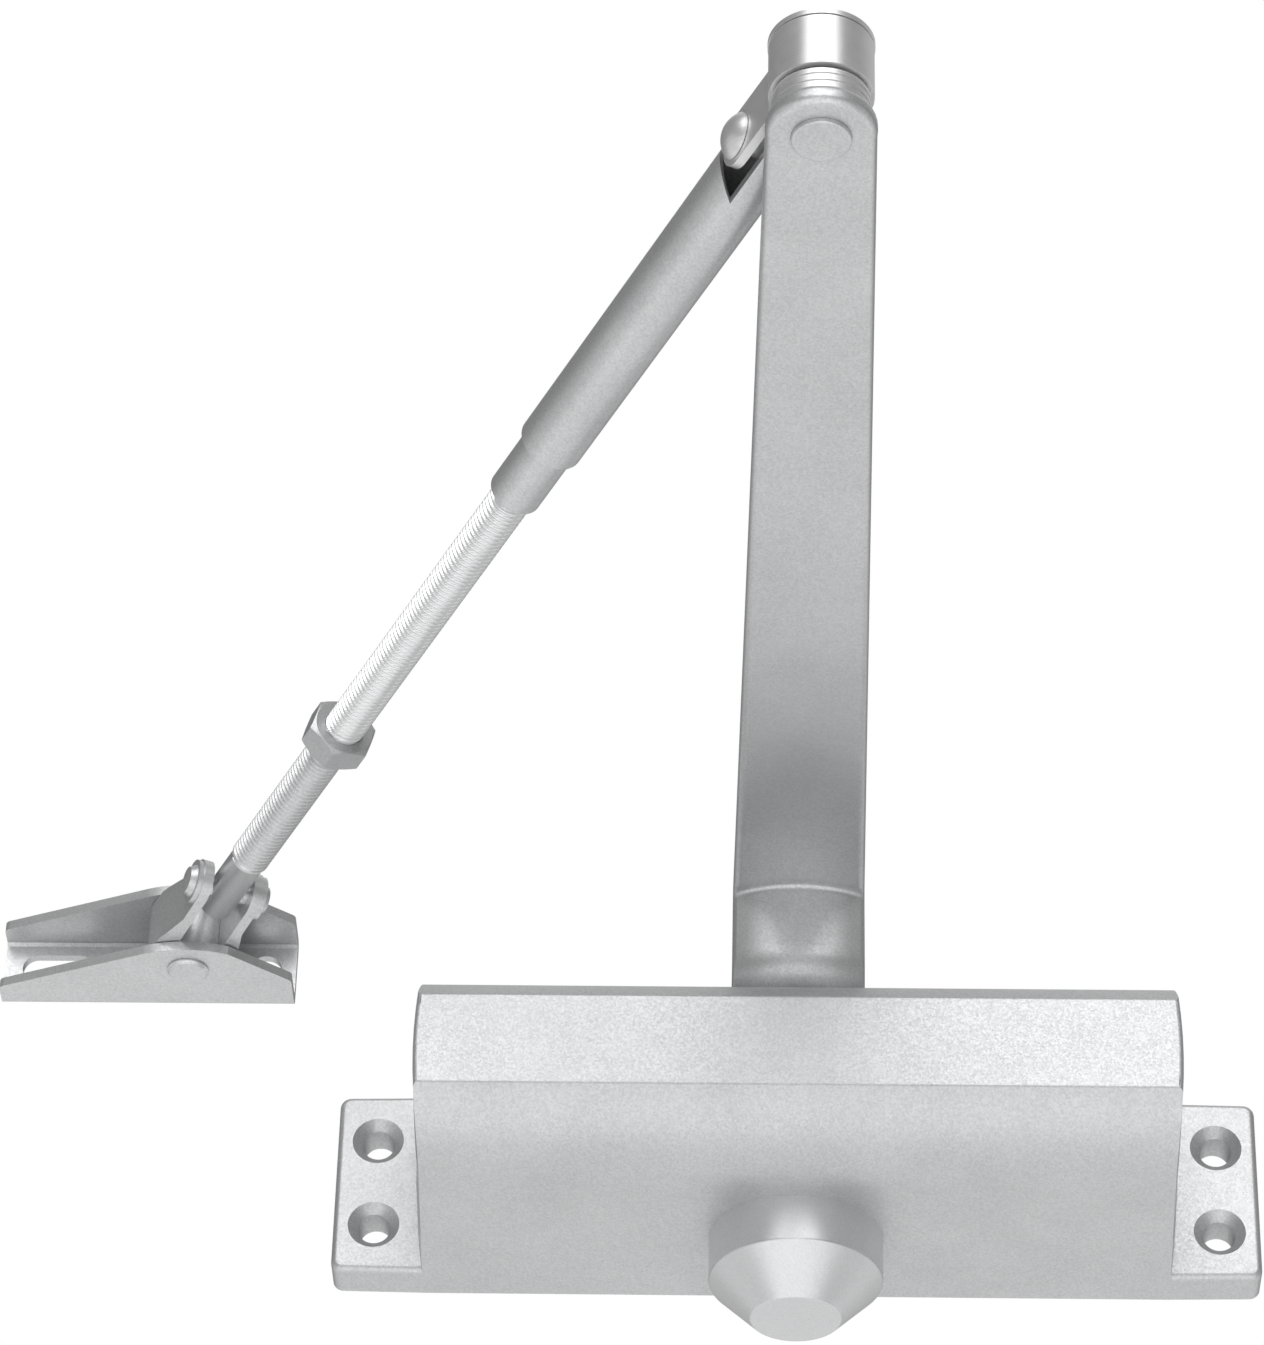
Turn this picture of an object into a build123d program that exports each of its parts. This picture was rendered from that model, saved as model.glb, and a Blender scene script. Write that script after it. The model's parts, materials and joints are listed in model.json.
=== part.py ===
"""Surface-mounted hydraulic door closer with a jointed arm, as separate named pieces.

The closer is shown fixed to a door whose face is the plane Y = 0. X runs along the body, Y runs into
the door and Z is up, with the arms above the body. The origin is the centre of the four mounting holes.
Sizes are in millimetres.
"""

from build123d import *
from math import acos, atan2, cos, hypot, pi, radians, sin, tan
import os

os.makedirs("parts", exist_ok=True)

# ---------------------------------------------------------------- body
hole_spacing_x = 166.0  # standard pattern for this size of closer
hole_spacing_z = 19.0
mount_hole_d = 6.4
countersink_d = 10.2
body_height = 40.0
body_depth = 63.0
foot_length = 182.0  # over both feet
foot_thickness = 8.5
foot_taper = 0.3  # the feet lose this much height on each side towards their outer ends
block_half = 75.0  # half length of the housing where it meets the door
end_draft = 2.0  # degrees, housing narrows towards the front
flat_depth = 43.0  # the flat top and bottom end here
shoulder_r = 25.0  # large curve from the flat to the front face
front_edge_r = 0.9
front_half = 9.7  # half height of the front face

# ---------------------------------------------------------------- hydraulic unit
bore_y = -36.0
bore_r = 16.0
plug_bore_r = 16.5
plug_inner_x = 62.5
plug_outer_x = 72.5
plug_groove_x = 66.7  # middle of the ring groove
plug_groove_width = 2.6
plug_groove_r = 14.0
plug_ring_r = 15.2
plug_ring_section = 1.15
plug_socket_r = 6.0  # hexagon socket, corner radius and depth
spindle_y = -22.5
pinion_room_r = 8.3
shaft_r = 7.0
bearing_r = 8.25
bearing_low = 9.0
bearing_high = 16.0
gland_r = 11.0
gear_module = 1.4
gear_teeth = 10
pressure_angle = 20.0
gear_half = 8.8
piston_r = 15.95
piston_left = -20.0
piston_right = 44.0
pocket_left = -10.0
pocket_right = 31.0
valve_y = -14.0
valve_z = 9.0
valve_r = 3.0
valve_ring_x = -68.25  # sealing ring on the valve screw
valve_seat_x = -61.0  # the needle closes the passage here

# ---------------------------------------------------------------- cover under the body
cap_r = 16.8
cap_wall_z = 9.3
cap_total_z = 17.6
cap_tip_r = 8.65
cap_room_r = 13.5  # hollow for the lower end of the spindle
cap_room_depth = 12.5

# ---------------------------------------------------------------- main arm
arm_length = 245.0
arm_swing = 0.6  # degrees between the arm and the line square to the door
arm_thickness = 4.0
arm_low_z = 45.5
arm_half_root = 13.3
arm_half_end = 9.15
hub_r = 14.2
hub_low_z = 22.0
riser_r = 24.9
square_side = 10.0
square_corner_r = 6.4

# ---------------------------------------------------------------- elbow
elbow_pin_r = 5.0
pin_head_rise = 0.9  # the riveted end stands this far below the arm
collar_r = 8.2
spigot_r = 6.9
collar_gap = 0.5  # between the collar and the eye
eye_r = 8.75
eye_wall = 1.15
eye_low_z = 54.3
eye_high_z = 64.7
cap_disc_r = 8.9

# ---------------------------------------------------------------- forearm
shoe_pin_x = -123.0
shoe_pin_y = -14.2
tilt_s = 20.0  # tube rivet from the elbow axis
tilt_z = 59.5
cross_back = 19.5  # cross rivet from the shoe pin axis
cross_hole_r = 2.05
tilt_shank_r = 2.5
tube_r = 5.95
tube_bore_r = 4.6
thread_bore_r = 4.0
rod_r = 3.95
rod_end_r = 3.6
tube_half_start = 12.0
tube_full_start = 30.0
tube_side_start = 25.6  # the cut runs back to here on the strap's side
tube_shoulder = 107.0
tube_end = 122.5
neck_r = 4.95
rod_inner = 80.0
thread_end = 250.0
rod_tip_back = 13.5
nut_mid = 205.0
nut_thickness = 5.8
nut_flats = 12.0
nut_turn = -15.0  # degrees about the rod
nut_corner_r = 7.3  # the nut is turned down to this at its corners

# ---------------------------------------------------------------- shoe
shoe_mid_z = 53.65
shoe_gap = 11.7
sheet = 2.0
shoe_left_x = -162.2
shoe_right_x = -102.4
slot_x = -151.2
slot_length = 14.8
slot_width = 6.2
hole_x = -108.6
hole_r = 3.3
shoe_left_depth = 7.2
shoe_right_depth = 10.2
nose_half = 8.5
nose_side_depth = 20.0
nose_depth = 21.6
barrel_r = 8.5
barrel_half = 5.65

z_top = body_height / 2
z_low = -body_height / 2

# Directions of the two arms seen from above.
swing = radians(arm_swing)
arm_dir = Vector(sin(swing), -cos(swing), 0)
arm_flat = Plane(origin=(0, spindle_y, 0), x_dir=arm_dir, z_dir=(0, 0, 1))
arm_side = Plane(origin=(0, spindle_y, 0), x_dir=arm_dir, z_dir=(-cos(swing), -sin(swing), 0))
spindle_axis = Axis((0, spindle_y, 0), (0, 0, 1))
elbow_x = arm_length * sin(swing)
elbow_y = spindle_y - arm_length * cos(swing)
fore_length = hypot(shoe_pin_x - elbow_x, shoe_pin_y - elbow_y)
fore_dx = (shoe_pin_x - elbow_x) / fore_length
fore_dy = (shoe_pin_y - elbow_y) / fore_length
fore_flat = Plane(origin=(elbow_x, elbow_y, 0), x_dir=(fore_dx, fore_dy, 0), z_dir=(0, 0, 1))
cross_s = fore_length - cross_back
side_dir = Vector(-fore_dy, fore_dx, 0)
fore_drop = (shoe_mid_z - tilt_z) / (cross_s - tilt_s)
fore_tilt = atan2(shoe_mid_z - tilt_z, cross_s - tilt_s)
rod_dir = Vector(fore_dx * cos(fore_tilt), fore_dy * cos(fore_tilt), sin(fore_tilt))


def dome_radius(edge_r, rise):
    """Radius of a dome that is rise high over a circle of radius edge_r."""
    return (edge_r**2 + rise**2) / (2 * rise)


def fore_height(s):
    """Height of the forearm's centre line at distance s from the elbow."""
    return tilt_z + (s - tilt_s) * fore_drop


def fore_point(s, side=0.0):
    """Point on the forearm's centre line, moved sideways by side."""
    return Vector(
        elbow_x + fore_dx * s + side_dir.X * side,
        elbow_y + fore_dy * s + side_dir.Y * side,
        fore_height(s),
    )


def across_forearm(s):
    """Plane square to the forearm's centre line at distance s."""
    return Plane(origin=fore_point(s), x_dir=side_dir, z_dir=rod_dir)


def along_forearm(s):
    """Plane lying along the forearm's centre line, with its Y axis sideways."""
    return Plane(origin=fore_point(s), x_dir=rod_dir, z_dir=rod_dir.cross(side_dir))


# ================================================================ body casting
with BuildPart() as body_casting:
    # Housing: flat at the back, shouldered towards a narrow front face.
    with BuildSketch(Plane.YZ):
        with BuildLine():
            Line((0, z_low), (-flat_depth, z_low))
            RadiusArc((-flat_depth, z_low), (-body_depth, -front_half), shoulder_r)
            Line((-body_depth, -front_half), (-body_depth, front_half))
            RadiusArc((-body_depth, front_half), (-flat_depth, z_top), shoulder_r)
            Line((-flat_depth, z_top), (0, z_top))
            Line((0, z_top), (0, z_low))
        make_face()
    extrude(amount=block_half + 2, both=True)
    # Drafted ends, fullest at mid height.
    with BuildSketch(Plane.XZ.offset(-1)):
        with BuildLine():
            Line((-block_half + 2.8, -26), (block_half - 2.8, -26))
            ThreePointArc((block_half - 2.8, -26), (block_half, 0), (block_half - 2.8, 26))
            Line((block_half - 2.8, 26), (-block_half + 2.8, 26))
            ThreePointArc((-block_half + 2.8, 26), (-block_half, 0), (-block_half + 2.8, -26))
        make_face()
    extrude(amount=body_depth + 2, taper=end_draft, mode=Mode.INTERSECT)
    fillet(body_casting.edges().filter_by_position(Axis.Y, -body_depth - 1, -body_depth + 0.5), front_edge_r)
    # Two screw feet, slightly lower at their outer ends.
    with BuildSketch(Plane.XZ):
        with BuildLine():
            Polyline(
                (-foot_length / 2, z_low + foot_taper),
                (-block_half + 2, z_low),
                (block_half - 2, z_low),
                (foot_length / 2, z_low + foot_taper),
                (foot_length / 2, z_top - foot_taper),
                (block_half - 2, z_top),
                (-block_half + 2, z_top),
                (-foot_length / 2, z_top - foot_taper),
                close=True,
            )
        make_face()
    extrude(amount=foot_thickness)
    corner_edges = body_casting.edges().filter_by(Axis.Y)
    fillet(corner_edges.filter_by(lambda e: abs(e.center().X) > foot_length / 2 - 1), 2.2)
    foot_face_edges = body_casting.edges().filter_by_position(
        Axis.Y, -foot_thickness - 0.01, -foot_thickness + 0.01
    )
    outer_edges = foot_face_edges.filter_by(
        lambda e: abs(e.center().X) > block_half + 1 and abs(e.center().Z) > 10
        or abs(e.center().X) > foot_length / 2 - 0.5
    )
    fillet(outer_edges, 1.3)
    # Four countersunk mounting holes.
    with BuildSketch(Plane.XZ.offset(-1)):
        with GridLocations(hole_spacing_x, hole_spacing_z, 2, 2):
            Circle(mount_hole_d / 2)
    extrude(amount=foot_thickness + 2, mode=Mode.SUBTRACT)
    sink = (countersink_d - mount_hole_d) / 2
    for sx in (-1, 1):
        for sz in (-1, 1):
            hole_mid = (sx * hole_spacing_x / 2, -foot_thickness + sink / 2, sz * hole_spacing_z / 2)
            with Locations(Location(hole_mid)):
                Cone(countersink_d / 2, mount_hole_d / 2, sink, rotation=(-90, 0, 0), mode=Mode.SUBTRACT)
    # Cylinder bore along the body, with wider ends for the plugs.
    with BuildSketch(Plane.YZ.offset(-block_half - 5)):
        with Locations((bore_y, 0)):
            Circle(bore_r)
    extrude(amount=2 * block_half + 10, mode=Mode.SUBTRACT)
    for sx in (-1, 1):
        with BuildSketch(Plane.YZ.offset(sx * plug_inner_x)):
            with Locations((bore_y, 0)):
                Circle(plug_bore_r)
        extrude(amount=sx * 20, mode=Mode.SUBTRACT)
    # Upright room for the pinion, with a wider seat for a gland nut at each end.
    with BuildSketch(Plane.XY.offset(z_low - 1)):
        with Locations((0, spindle_y)):
            Circle(pinion_room_r)
    extrude(amount=body_height + 2, mode=Mode.SUBTRACT)
    for sz in (-1, 1):
        with BuildSketch(Plane.XY.offset(sz * (bearing_high + 0.05))):
            with Locations((0, spindle_y)):
                Circle(gland_r + 0.05)
        extrude(amount=sz * 6, mode=Mode.SUBTRACT)
    # Two valve bores in the left end, each with a passage down to the cylinder.
    for sz in (-1, 1):
        with BuildSketch(Plane.YZ.offset(-block_half - 1)):
            with Locations((valve_y, sz * valve_z)):
                Circle(valve_r + 0.05)
        extrude(amount=16, mode=Mode.SUBTRACT)
        with BuildSketch(Plane.YZ.offset(valve_seat_x)):
            with Locations((valve_y, sz * valve_z)):
                Circle(1.7)
        extrude(amount=9, mode=Mode.SUBTRACT)
        with BuildSketch(Plane.XZ.offset(-valve_y)):
            with Locations((-54, sz * valve_z)):
                Circle(1.0)
        extrude(amount=11, mode=Mode.SUBTRACT)
body_casting.part.label = "body_casting"
export_step(body_casting.part, "parts/body_casting.step")

# ================================================================ end plugs and their rings
with BuildPart() as end_plug_right:
    with BuildSketch(Plane.YZ.offset(plug_inner_x)):
        with Locations((bore_y, 0)):
            Circle(plug_bore_r - 0.05)
    extrude(amount=plug_outer_x - plug_inner_x)
    with BuildSketch(Plane.YZ.offset(plug_groove_x - plug_groove_width / 2)):
        with Locations((bore_y, 0)):
            Circle(plug_bore_r)
            Circle(plug_groove_r, mode=Mode.SUBTRACT)
    extrude(amount=plug_groove_width, mode=Mode.SUBTRACT)
    with BuildSketch(Plane.YZ.offset(plug_outer_x)):
        with Locations((bore_y, 0)):
            RegularPolygon(plug_socket_r, 6)
    extrude(amount=-plug_socket_r, mode=Mode.SUBTRACT)
end_plug_right.part.label = "end_plug_right"
export_step(end_plug_right.part, "parts/end_plug_right.step")

# The left plug is the same, with a shallow seat for the spring's guide.
with BuildPart() as end_plug_left:
    mirror(end_plug_right.part, about=Plane.YZ)
    with BuildSketch(Plane.YZ.offset(-plug_inner_x - 0.6)):
        with Locations((bore_y, 0)):
            Circle(10.0)
    extrude(amount=0.6, mode=Mode.SUBTRACT)
end_plug_left.part.label = "end_plug_left"
export_step(end_plug_left.part, "parts/end_plug_left.step")

with BuildPart() as plug_rings:
    for sx in (-1, 1):
        with Locations(Location((sx * plug_groove_x, bore_y, 0))):
            Torus(plug_ring_r, plug_ring_section, rotation=(0, 90, 0))
plug_rings.part.label = "plug_rings"
export_step(plug_rings.part, "parts/plug_rings.step")

# ================================================================ valve screws
with BuildPart() as closing_valve:
    with BuildSketch(Plane.XZ.offset(-valve_y)):
        with BuildLine():
            Polyline(
                (-plug_outer_x, valve_z),
                (-plug_outer_x, valve_z + valve_r - 0.4),
                (-plug_outer_x + 0.4, valve_z + valve_r),
                (valve_ring_x - 0.75, valve_z + valve_r),
                (valve_ring_x - 0.75, valve_z + 1.7),
                (valve_ring_x + 0.75, valve_z + 1.7),
                (valve_ring_x + 0.75, valve_z + valve_r),
                (valve_seat_x - 1.0, valve_z + valve_r),
                (valve_seat_x - 0.5, valve_z + 1.5),
                (valve_seat_x + 5.5, valve_z + 0.5),
                (valve_seat_x + 5.5, valve_z),
                close=True,
            )
        make_face()
    revolve(axis=Axis((0, valve_y, valve_z), (1, 0, 0)))
    # Screwdriver slot.
    with Locations(Location((-plug_outer_x + 0.5, valve_y, valve_z))):
        Box(1.4, 7, 0.9, mode=Mode.SUBTRACT)
closing_valve.part.label = "closing_valve"
export_step(closing_valve.part, "parts/closing_valve.step")

with BuildPart() as latching_valve:
    mirror(closing_valve.part, about=Plane.XY)
latching_valve.part.label = "latching_valve"
export_step(latching_valve.part, "parts/latching_valve.step")

with BuildPart() as valve_rings:
    for sz in (-1, 1):
        with Locations(Location((valve_ring_x, valve_y, sz * valve_z))):
            Torus(2.36, 0.6, rotation=(0, 90, 0))
valve_rings.part.label = "valve_rings"
export_step(valve_rings.part, "parts/valve_rings.step")

# ================================================================ spindle bearings, seals and gland nuts
with BuildPart() as spindle_bearings:
    for low in (bearing_low, -bearing_high):
        with BuildSketch(Plane.XY.offset(low)):
            with Locations((0, spindle_y)):
                Circle(bearing_r)
                Circle(shaft_r + 0.05, mode=Mode.SUBTRACT)
        extrude(amount=bearing_high - bearing_low)
spindle_bearings.part.label = "spindle_bearings"
export_step(spindle_bearings.part, "parts/spindle_bearings.step")

with BuildPart() as gland_nuts:
    for sz in (-1, 1):
        with BuildSketch(Plane.XY.offset(sz * 16.1)):
            with Locations((0, spindle_y)):
                Circle(gland_r)
                Circle(9.0, mode=Mode.SUBTRACT)
        extrude(amount=sz * 1.7)
        with BuildSketch(Plane.XY.offset(sz * 17.8)):
            with Locations((0, spindle_y)):
                Circle(gland_r)
                Circle(shaft_r + 0.08, mode=Mode.SUBTRACT)
        extrude(amount=sz * 1.7)
        # Two holes for a pin spanner.
        with BuildSketch(Plane.XY.offset(sz * 19.5)):
            with Locations((9.2, spindle_y), (-9.2, spindle_y)):
                Circle(0.9)
        extrude(amount=-sz * 1.2, mode=Mode.SUBTRACT)
gland_nuts.part.label = "gland_nuts"
export_step(gland_nuts.part, "parts/gland_nuts.step")

with BuildPart() as spindle_seals:
    for low in (16.15, -17.75):
        with BuildSketch(Plane.XY.offset(low)):
            with Locations((0, spindle_y)):
                Circle(8.95)
                Circle(shaft_r + 0.03, mode=Mode.SUBTRACT)
        extrude(amount=1.6)
spindle_seals.part.label = "spindle_seals"
export_step(spindle_seals.part, "parts/spindle_seals.step")

# ================================================================ cover over the lower spindle end
with BuildPart() as pinion_cap:
    with BuildSketch(Plane.YZ):
        with BuildLine():
            Polyline(
                (spindle_y, z_low - cap_room_depth),
                (spindle_y - cap_room_r + 4.5, z_low - cap_room_depth),
                (spindle_y - cap_room_r, z_low - cap_room_depth + 5.5),
                (spindle_y - cap_room_r, z_low),
                (spindle_y - cap_r, z_low),
                (spindle_y - cap_r, z_low - cap_wall_z),
                (spindle_y - cap_tip_r, z_low - cap_total_z),
                (spindle_y, z_low - cap_total_z),
                close=True,
            )
        make_face()
    revolve(axis=spindle_axis)
    rim_edges = pinion_cap.edges().filter_by(GeomType.CIRCLE).filter_by_position(
        Axis.Z, z_low - cap_total_z - 0.1, z_low - cap_wall_z + 0.1
    )
    fillet(rim_edges.filter_by(lambda e: min(abs(e.radius - cap_r), abs(e.radius - cap_tip_r)) < 0.05), 0.6)
pinion_cap.part.label = "pinion_cap"
export_step(pinion_cap.part, "parts/pinion_cap.step")

# ================================================================ spindle with its pinion
pitch_r = gear_module * gear_teeth / 2
base_r = pitch_r * cos(radians(pressure_angle))
tooth_tip_r = pitch_r + 1.1
tooth_root_r = pitch_r - 1.1
backlash = 0.18


def involute_angle(r):
    """Involute function of the pressure angle at radius r, in radians."""
    if r <= base_r:
        return 0.0
    a = acos(base_r / r)
    return tan(a) - a


half_at_pitch = pi / (2 * gear_teeth) - backlash / (2 * pitch_r)
flank_radii = [tooth_root_r, base_r, 6.9, 7.2, 7.5, 7.8, tooth_tip_r]
tooth_profile = []
for tooth in range(gear_teeth):
    middle = -pi / 2 + tooth * 2 * pi / gear_teeth
    rising = []
    for r in flank_radii:
        half = half_at_pitch + involute_angle(pitch_r) - involute_angle(r)
        rising.append((r, half))
    for r, half in rising:
        tooth_profile.append((r * cos(middle - half), spindle_y + r * sin(middle - half)))
    for r, half in reversed(rising):
        tooth_profile.append((r * cos(middle + half), spindle_y + r * sin(middle + half)))

with BuildPart() as pinion_spindle:
    with BuildSketch(Plane.XY.offset(-gear_half)):
        with BuildLine():
            Polyline(*tooth_profile, close=True)
        make_face()
    extrude(amount=2 * gear_half)
    with BuildSketch(Plane.XY.offset(gear_half)):
        with Locations((0, spindle_y)):
            Circle(shaft_r)
    extrude(amount=hub_low_z - gear_half)
    with BuildSketch(Plane.XY.offset(-gear_half)):
        with Locations((0, spindle_y)):
            Circle(shaft_r)
    extrude(amount=-(20.5 - gear_half))
    # Square upper end for the arm and a matching lower end.
    with BuildSketch(arm_flat.offset(hub_low_z)):
        Rectangle(square_side, square_side)
        Circle(square_corner_r, mode=Mode.INTERSECT)
    extrude(amount=arm_thickness - 0.5)
    with BuildSketch(arm_flat.offset(-28)):
        Rectangle(square_side, square_side)
        Circle(square_corner_r, mode=Mode.INTERSECT)
    extrude(amount=7.5)
    # Threaded hole for the arm screw.
    with BuildSketch(arm_flat.offset(30)):
        Circle(3.05)
    extrude(amount=-19, mode=Mode.SUBTRACT)
pinion_spindle.part.label = "pinion_spindle"
export_step(pinion_spindle.part, "parts/pinion_spindle.step")

# ================================================================ piston and what it carries
rack_pitch = pi * gear_module
rack_line_y = spindle_y - pitch_r
rack_root_y = rack_line_y - 1.4
rack_tip_y = rack_line_y + 0.8
ring_x = 36.0  # left side of the ring groove
ring_width = 3.0
ring_inner_r = 14.5
slope = tan(radians(pressure_angle))

# One-way valve in the piston.
check_y = bore_y - 5
check_r = 2.6
check_ball_r = 2.2

with BuildPart() as piston:
    with BuildSketch(Plane.YZ.offset(piston_left)):
        with Locations((bore_y, 0)):
            Circle(piston_r)
    extrude(amount=piston_right - piston_left)
    # Pocket for the pinion and its shaft.
    with BuildSketch(Plane.XY.offset(-20)):
        with BuildLine():
            Polyline(
                (pocket_left, 0),
                (pocket_left, rack_root_y),
                (pocket_right, rack_root_y),
                (pocket_right, 0),
                close=True,
            )
        make_face()
    extrude(amount=40, mode=Mode.SUBTRACT)
    # Rack teeth on the pocket floor, one gap facing the pinion at rest.
    for k in range(-2, 7):
        mid = (k + 0.5) * rack_pitch
        half_line = rack_pitch / 4 - backlash / 2
        half_root = half_line + (rack_line_y - rack_root_y) * slope
        half_tip = half_line - (rack_tip_y - rack_line_y) * slope
        with BuildSketch(Plane.XY.offset(-gear_half)):
            with BuildLine():
                Polyline(
                    (mid - half_root, rack_root_y - 0.5),
                    (mid - half_root, rack_root_y),
                    (mid - half_tip, rack_tip_y),
                    (mid + half_tip, rack_tip_y),
                    (mid + half_root, rack_root_y),
                    (mid + half_root, rack_root_y - 0.5),
                    close=True,
                )
            make_face()
        extrude(amount=2 * gear_half)
    # Ring groove in the right-hand head.
    with BuildSketch(Plane.YZ.offset(ring_x)):
        with Locations((bore_y, 0)):
            Circle(20)
            Circle(ring_inner_r, mode=Mode.SUBTRACT)
    extrude(amount=ring_width + 0.1, mode=Mode.SUBTRACT)
    # Seat and passage of the one-way valve.
    with BuildSketch(Plane.YZ.offset(piston_left)):
        with Locations((check_y, 0)):
            Circle(check_r)
    extrude(amount=7, mode=Mode.SUBTRACT)
    with BuildSketch(Plane.YZ.offset(piston_left)):
        with Locations((check_y, 0)):
            Circle(1.2)
    extrude(amount=70, mode=Mode.SUBTRACT)
piston.part.label = "piston"
export_step(piston.part, "parts/piston.step")

with BuildPart() as piston_ring:
    with BuildSketch(Plane.YZ.offset(ring_x + 0.05)):
        with Locations((bore_y, 0)):
            Circle(bore_r - 0.03)
            Circle(ring_inner_r + 0.05, mode=Mode.SUBTRACT)
    extrude(amount=ring_width)
piston_ring.part.label = "piston_ring"
export_step(piston_ring.part, "parts/piston_ring.step")

with BuildPart() as check_ball:
    with Locations(Location((-15.3, check_y, 0))):
        Sphere(check_ball_r)
check_ball.part.label = "check_ball"
export_step(check_ball.part, "parts/check_ball.step")

with BuildPart() as check_retainer:
    with BuildSketch(Plane.YZ.offset(piston_left)):
        with Locations((check_y, 0)):
            Circle(check_r - 0.02)
            Circle(1.4, mode=Mode.SUBTRACT)
    extrude(amount=1.8)
check_retainer.part.label = "check_retainer"
export_step(check_retainer.part, "parts/check_retainer.step")

# ================================================================ closing spring
spring_wire_r = 2.0
spring_mean_r = 12.5
spring_turns = 4.75
spring_low_x = -plug_inner_x + 0.1 + spring_wire_r
spring_high_x = piston_left - 0.1 - spring_wire_r
with BuildPart() as closing_spring:
    with BuildLine() as coil:
        Helix(
            pitch=(spring_high_x - spring_low_x) / spring_turns,
            height=spring_high_x - spring_low_x,
            radius=spring_mean_r,
            center=(spring_low_x, bore_y, 0),
            direction=(1, 0, 0),
        )
    with BuildSketch(Plane(origin=coil.edge() @ 0, z_dir=coil.edge() % 0)):
        Circle(spring_wire_r)
    sweep(is_frenet=True)
closing_spring.part.label = "closing_spring"
export_step(closing_spring.part, "parts/closing_spring.step")

# ================================================================ main arm
bend_r = 9.5
edge_round = 1.6
corner_r = 1.5
hub_high_z = hub_low_z + arm_thickness
arm_high_z = arm_low_z + arm_thickness
bend_s = riser_r - bend_r
corner_s = riser_r + corner_r
far_s = arm_length + 20
with BuildPart() as main_arm:
    # Bent section, turned about the spindle so the step is concentric with the hub.
    with BuildSketch(arm_side):
        with BuildLine():
            Line((0, hub_low_z), (bend_s, hub_low_z))
            JernArc((bend_s, hub_low_z), (1, 0), bend_r, 90)
            Line((riser_r, hub_low_z + bend_r), (riser_r, arm_low_z - corner_r))
            JernArc((riser_r, arm_low_z - corner_r), (0, 1), corner_r, -90)
            Line((corner_s, arm_low_z), (far_s, arm_low_z))
            Line((far_s, arm_low_z), (far_s, arm_high_z))
            Line((far_s, arm_high_z), (corner_s, arm_high_z))
            JernArc((corner_s, arm_high_z), (-1, 0), corner_r + arm_thickness, 90)
            Line(
                (riser_r - arm_thickness, arm_low_z - corner_r),
                (riser_r - arm_thickness, hub_low_z + bend_r),
            )
            JernArc(
                (riser_r - arm_thickness, hub_low_z + bend_r), (0, -1), bend_r - arm_thickness, -90
            )
            Line((bend_s, hub_high_z), (0, hub_high_z))
            Line((0, hub_high_z), (0, hub_low_z))
        make_face()
    revolve(axis=spindle_axis)
    # Outline seen from above.
    with BuildSketch(arm_flat):
        with BuildLine():
            Polyline(
                (0, -arm_half_root),
                (arm_length, -arm_half_end),
                (arm_length, arm_half_end),
                (0, arm_half_root),
                close=True,
            )
        make_face()
        Circle(hub_r)
        with Locations((arm_length, 0)):
            Circle(arm_half_end + 0.08)
    extrude(amount=80, mode=Mode.INTERSECT)
    # Square hole on the spindle and round hole for the elbow pin.
    with BuildSketch(arm_flat):
        Rectangle(square_side + 0.1, square_side + 0.1)
        with Locations((arm_length, 0)):
            Circle(elbow_pin_r + 0.05)
    extrude(amount=80, mode=Mode.SUBTRACT)
    flat_edges = main_arm.edges().filter_by(
        lambda e: e.center().Z > arm_low_z - 0.01
        and (abs(e.center().Z - arm_low_z) < 0.01 or abs(e.center().Z - arm_high_z) < 0.01)
        and e.center().Y < spindle_y - riser_r - 5
        and (e.geom_type == GeomType.LINE or e.radius > elbow_pin_r + 1)
    )
    fillet(flat_edges, edge_round)
main_arm.part.label = "main_arm"
export_step(main_arm.part, "parts/main_arm.step")

with BuildPart() as arm_washer:
    with BuildSketch(arm_flat.offset(hub_high_z)):
        Circle(9.5)
        Circle(3.2, mode=Mode.SUBTRACT)
    extrude(amount=1.6)
arm_washer.part.label = "arm_washer"
export_step(arm_washer.part, "parts/arm_washer.step")

with BuildPart() as arm_screw:
    with BuildSketch(arm_flat.offset(hub_high_z + 1.6)):
        RegularPolygon(5.7, 6)
    extrude(amount=4.0)
    with BuildSketch(arm_flat.offset(hub_high_z + 1.6)):
        Circle(3.0)
    extrude(amount=-14)
arm_screw.part.label = "arm_screw"
export_step(arm_screw.part, "parts/arm_screw.step")

# ================================================================ elbow
elbow_low = Plane(origin=(elbow_x, elbow_y, 0), z_dir=(0, 0, 1))
elbow_axis = Axis((elbow_x, elbow_y, 0), (0, 0, 1))
collar_lap = 1.8  # the collar reaches this far up into the eye
with BuildPart() as elbow_pin:
    with BuildSketch(elbow_low.offset(arm_low_z - pin_head_rise)):
        Circle(elbow_pin_r)
    extrude(amount=66.0 - arm_low_z + pin_head_rise)
    fillet(elbow_pin.edges().sort_by(Axis.Z)[0], 0.4)
elbow_pin.part.label = "elbow_pin"
export_step(elbow_pin.part, "parts/elbow_pin.step")

with BuildPart() as elbow_collar:
    with BuildSketch(elbow_low.offset(arm_high_z)):
        Circle(collar_r)
        Circle(elbow_pin_r + 0.05, mode=Mode.SUBTRACT)
    extrude(amount=eye_low_z - collar_gap - arm_high_z)
    rim = elbow_collar.edges().filter_by_position(Axis.Z, eye_low_z - collar_gap - 0.1, eye_low_z)
    fillet(rim.sort_by(SortBy.RADIUS)[-1], 0.4)
    with BuildSketch(elbow_low.offset(eye_low_z - collar_gap)):
        Circle(spigot_r)
        Circle(elbow_pin_r + 0.05, mode=Mode.SUBTRACT)
    extrude(amount=collar_gap + collar_lap)
    for height in (1.2, 2.7):
        with BuildSketch(elbow_low.offset(arm_high_z + height)):
            Circle(collar_r + 1)
            Circle(collar_r - 0.25, mode=Mode.SUBTRACT)
        extrude(amount=0.35, mode=Mode.SUBTRACT)
elbow_collar.part.label = "elbow_collar"
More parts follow.
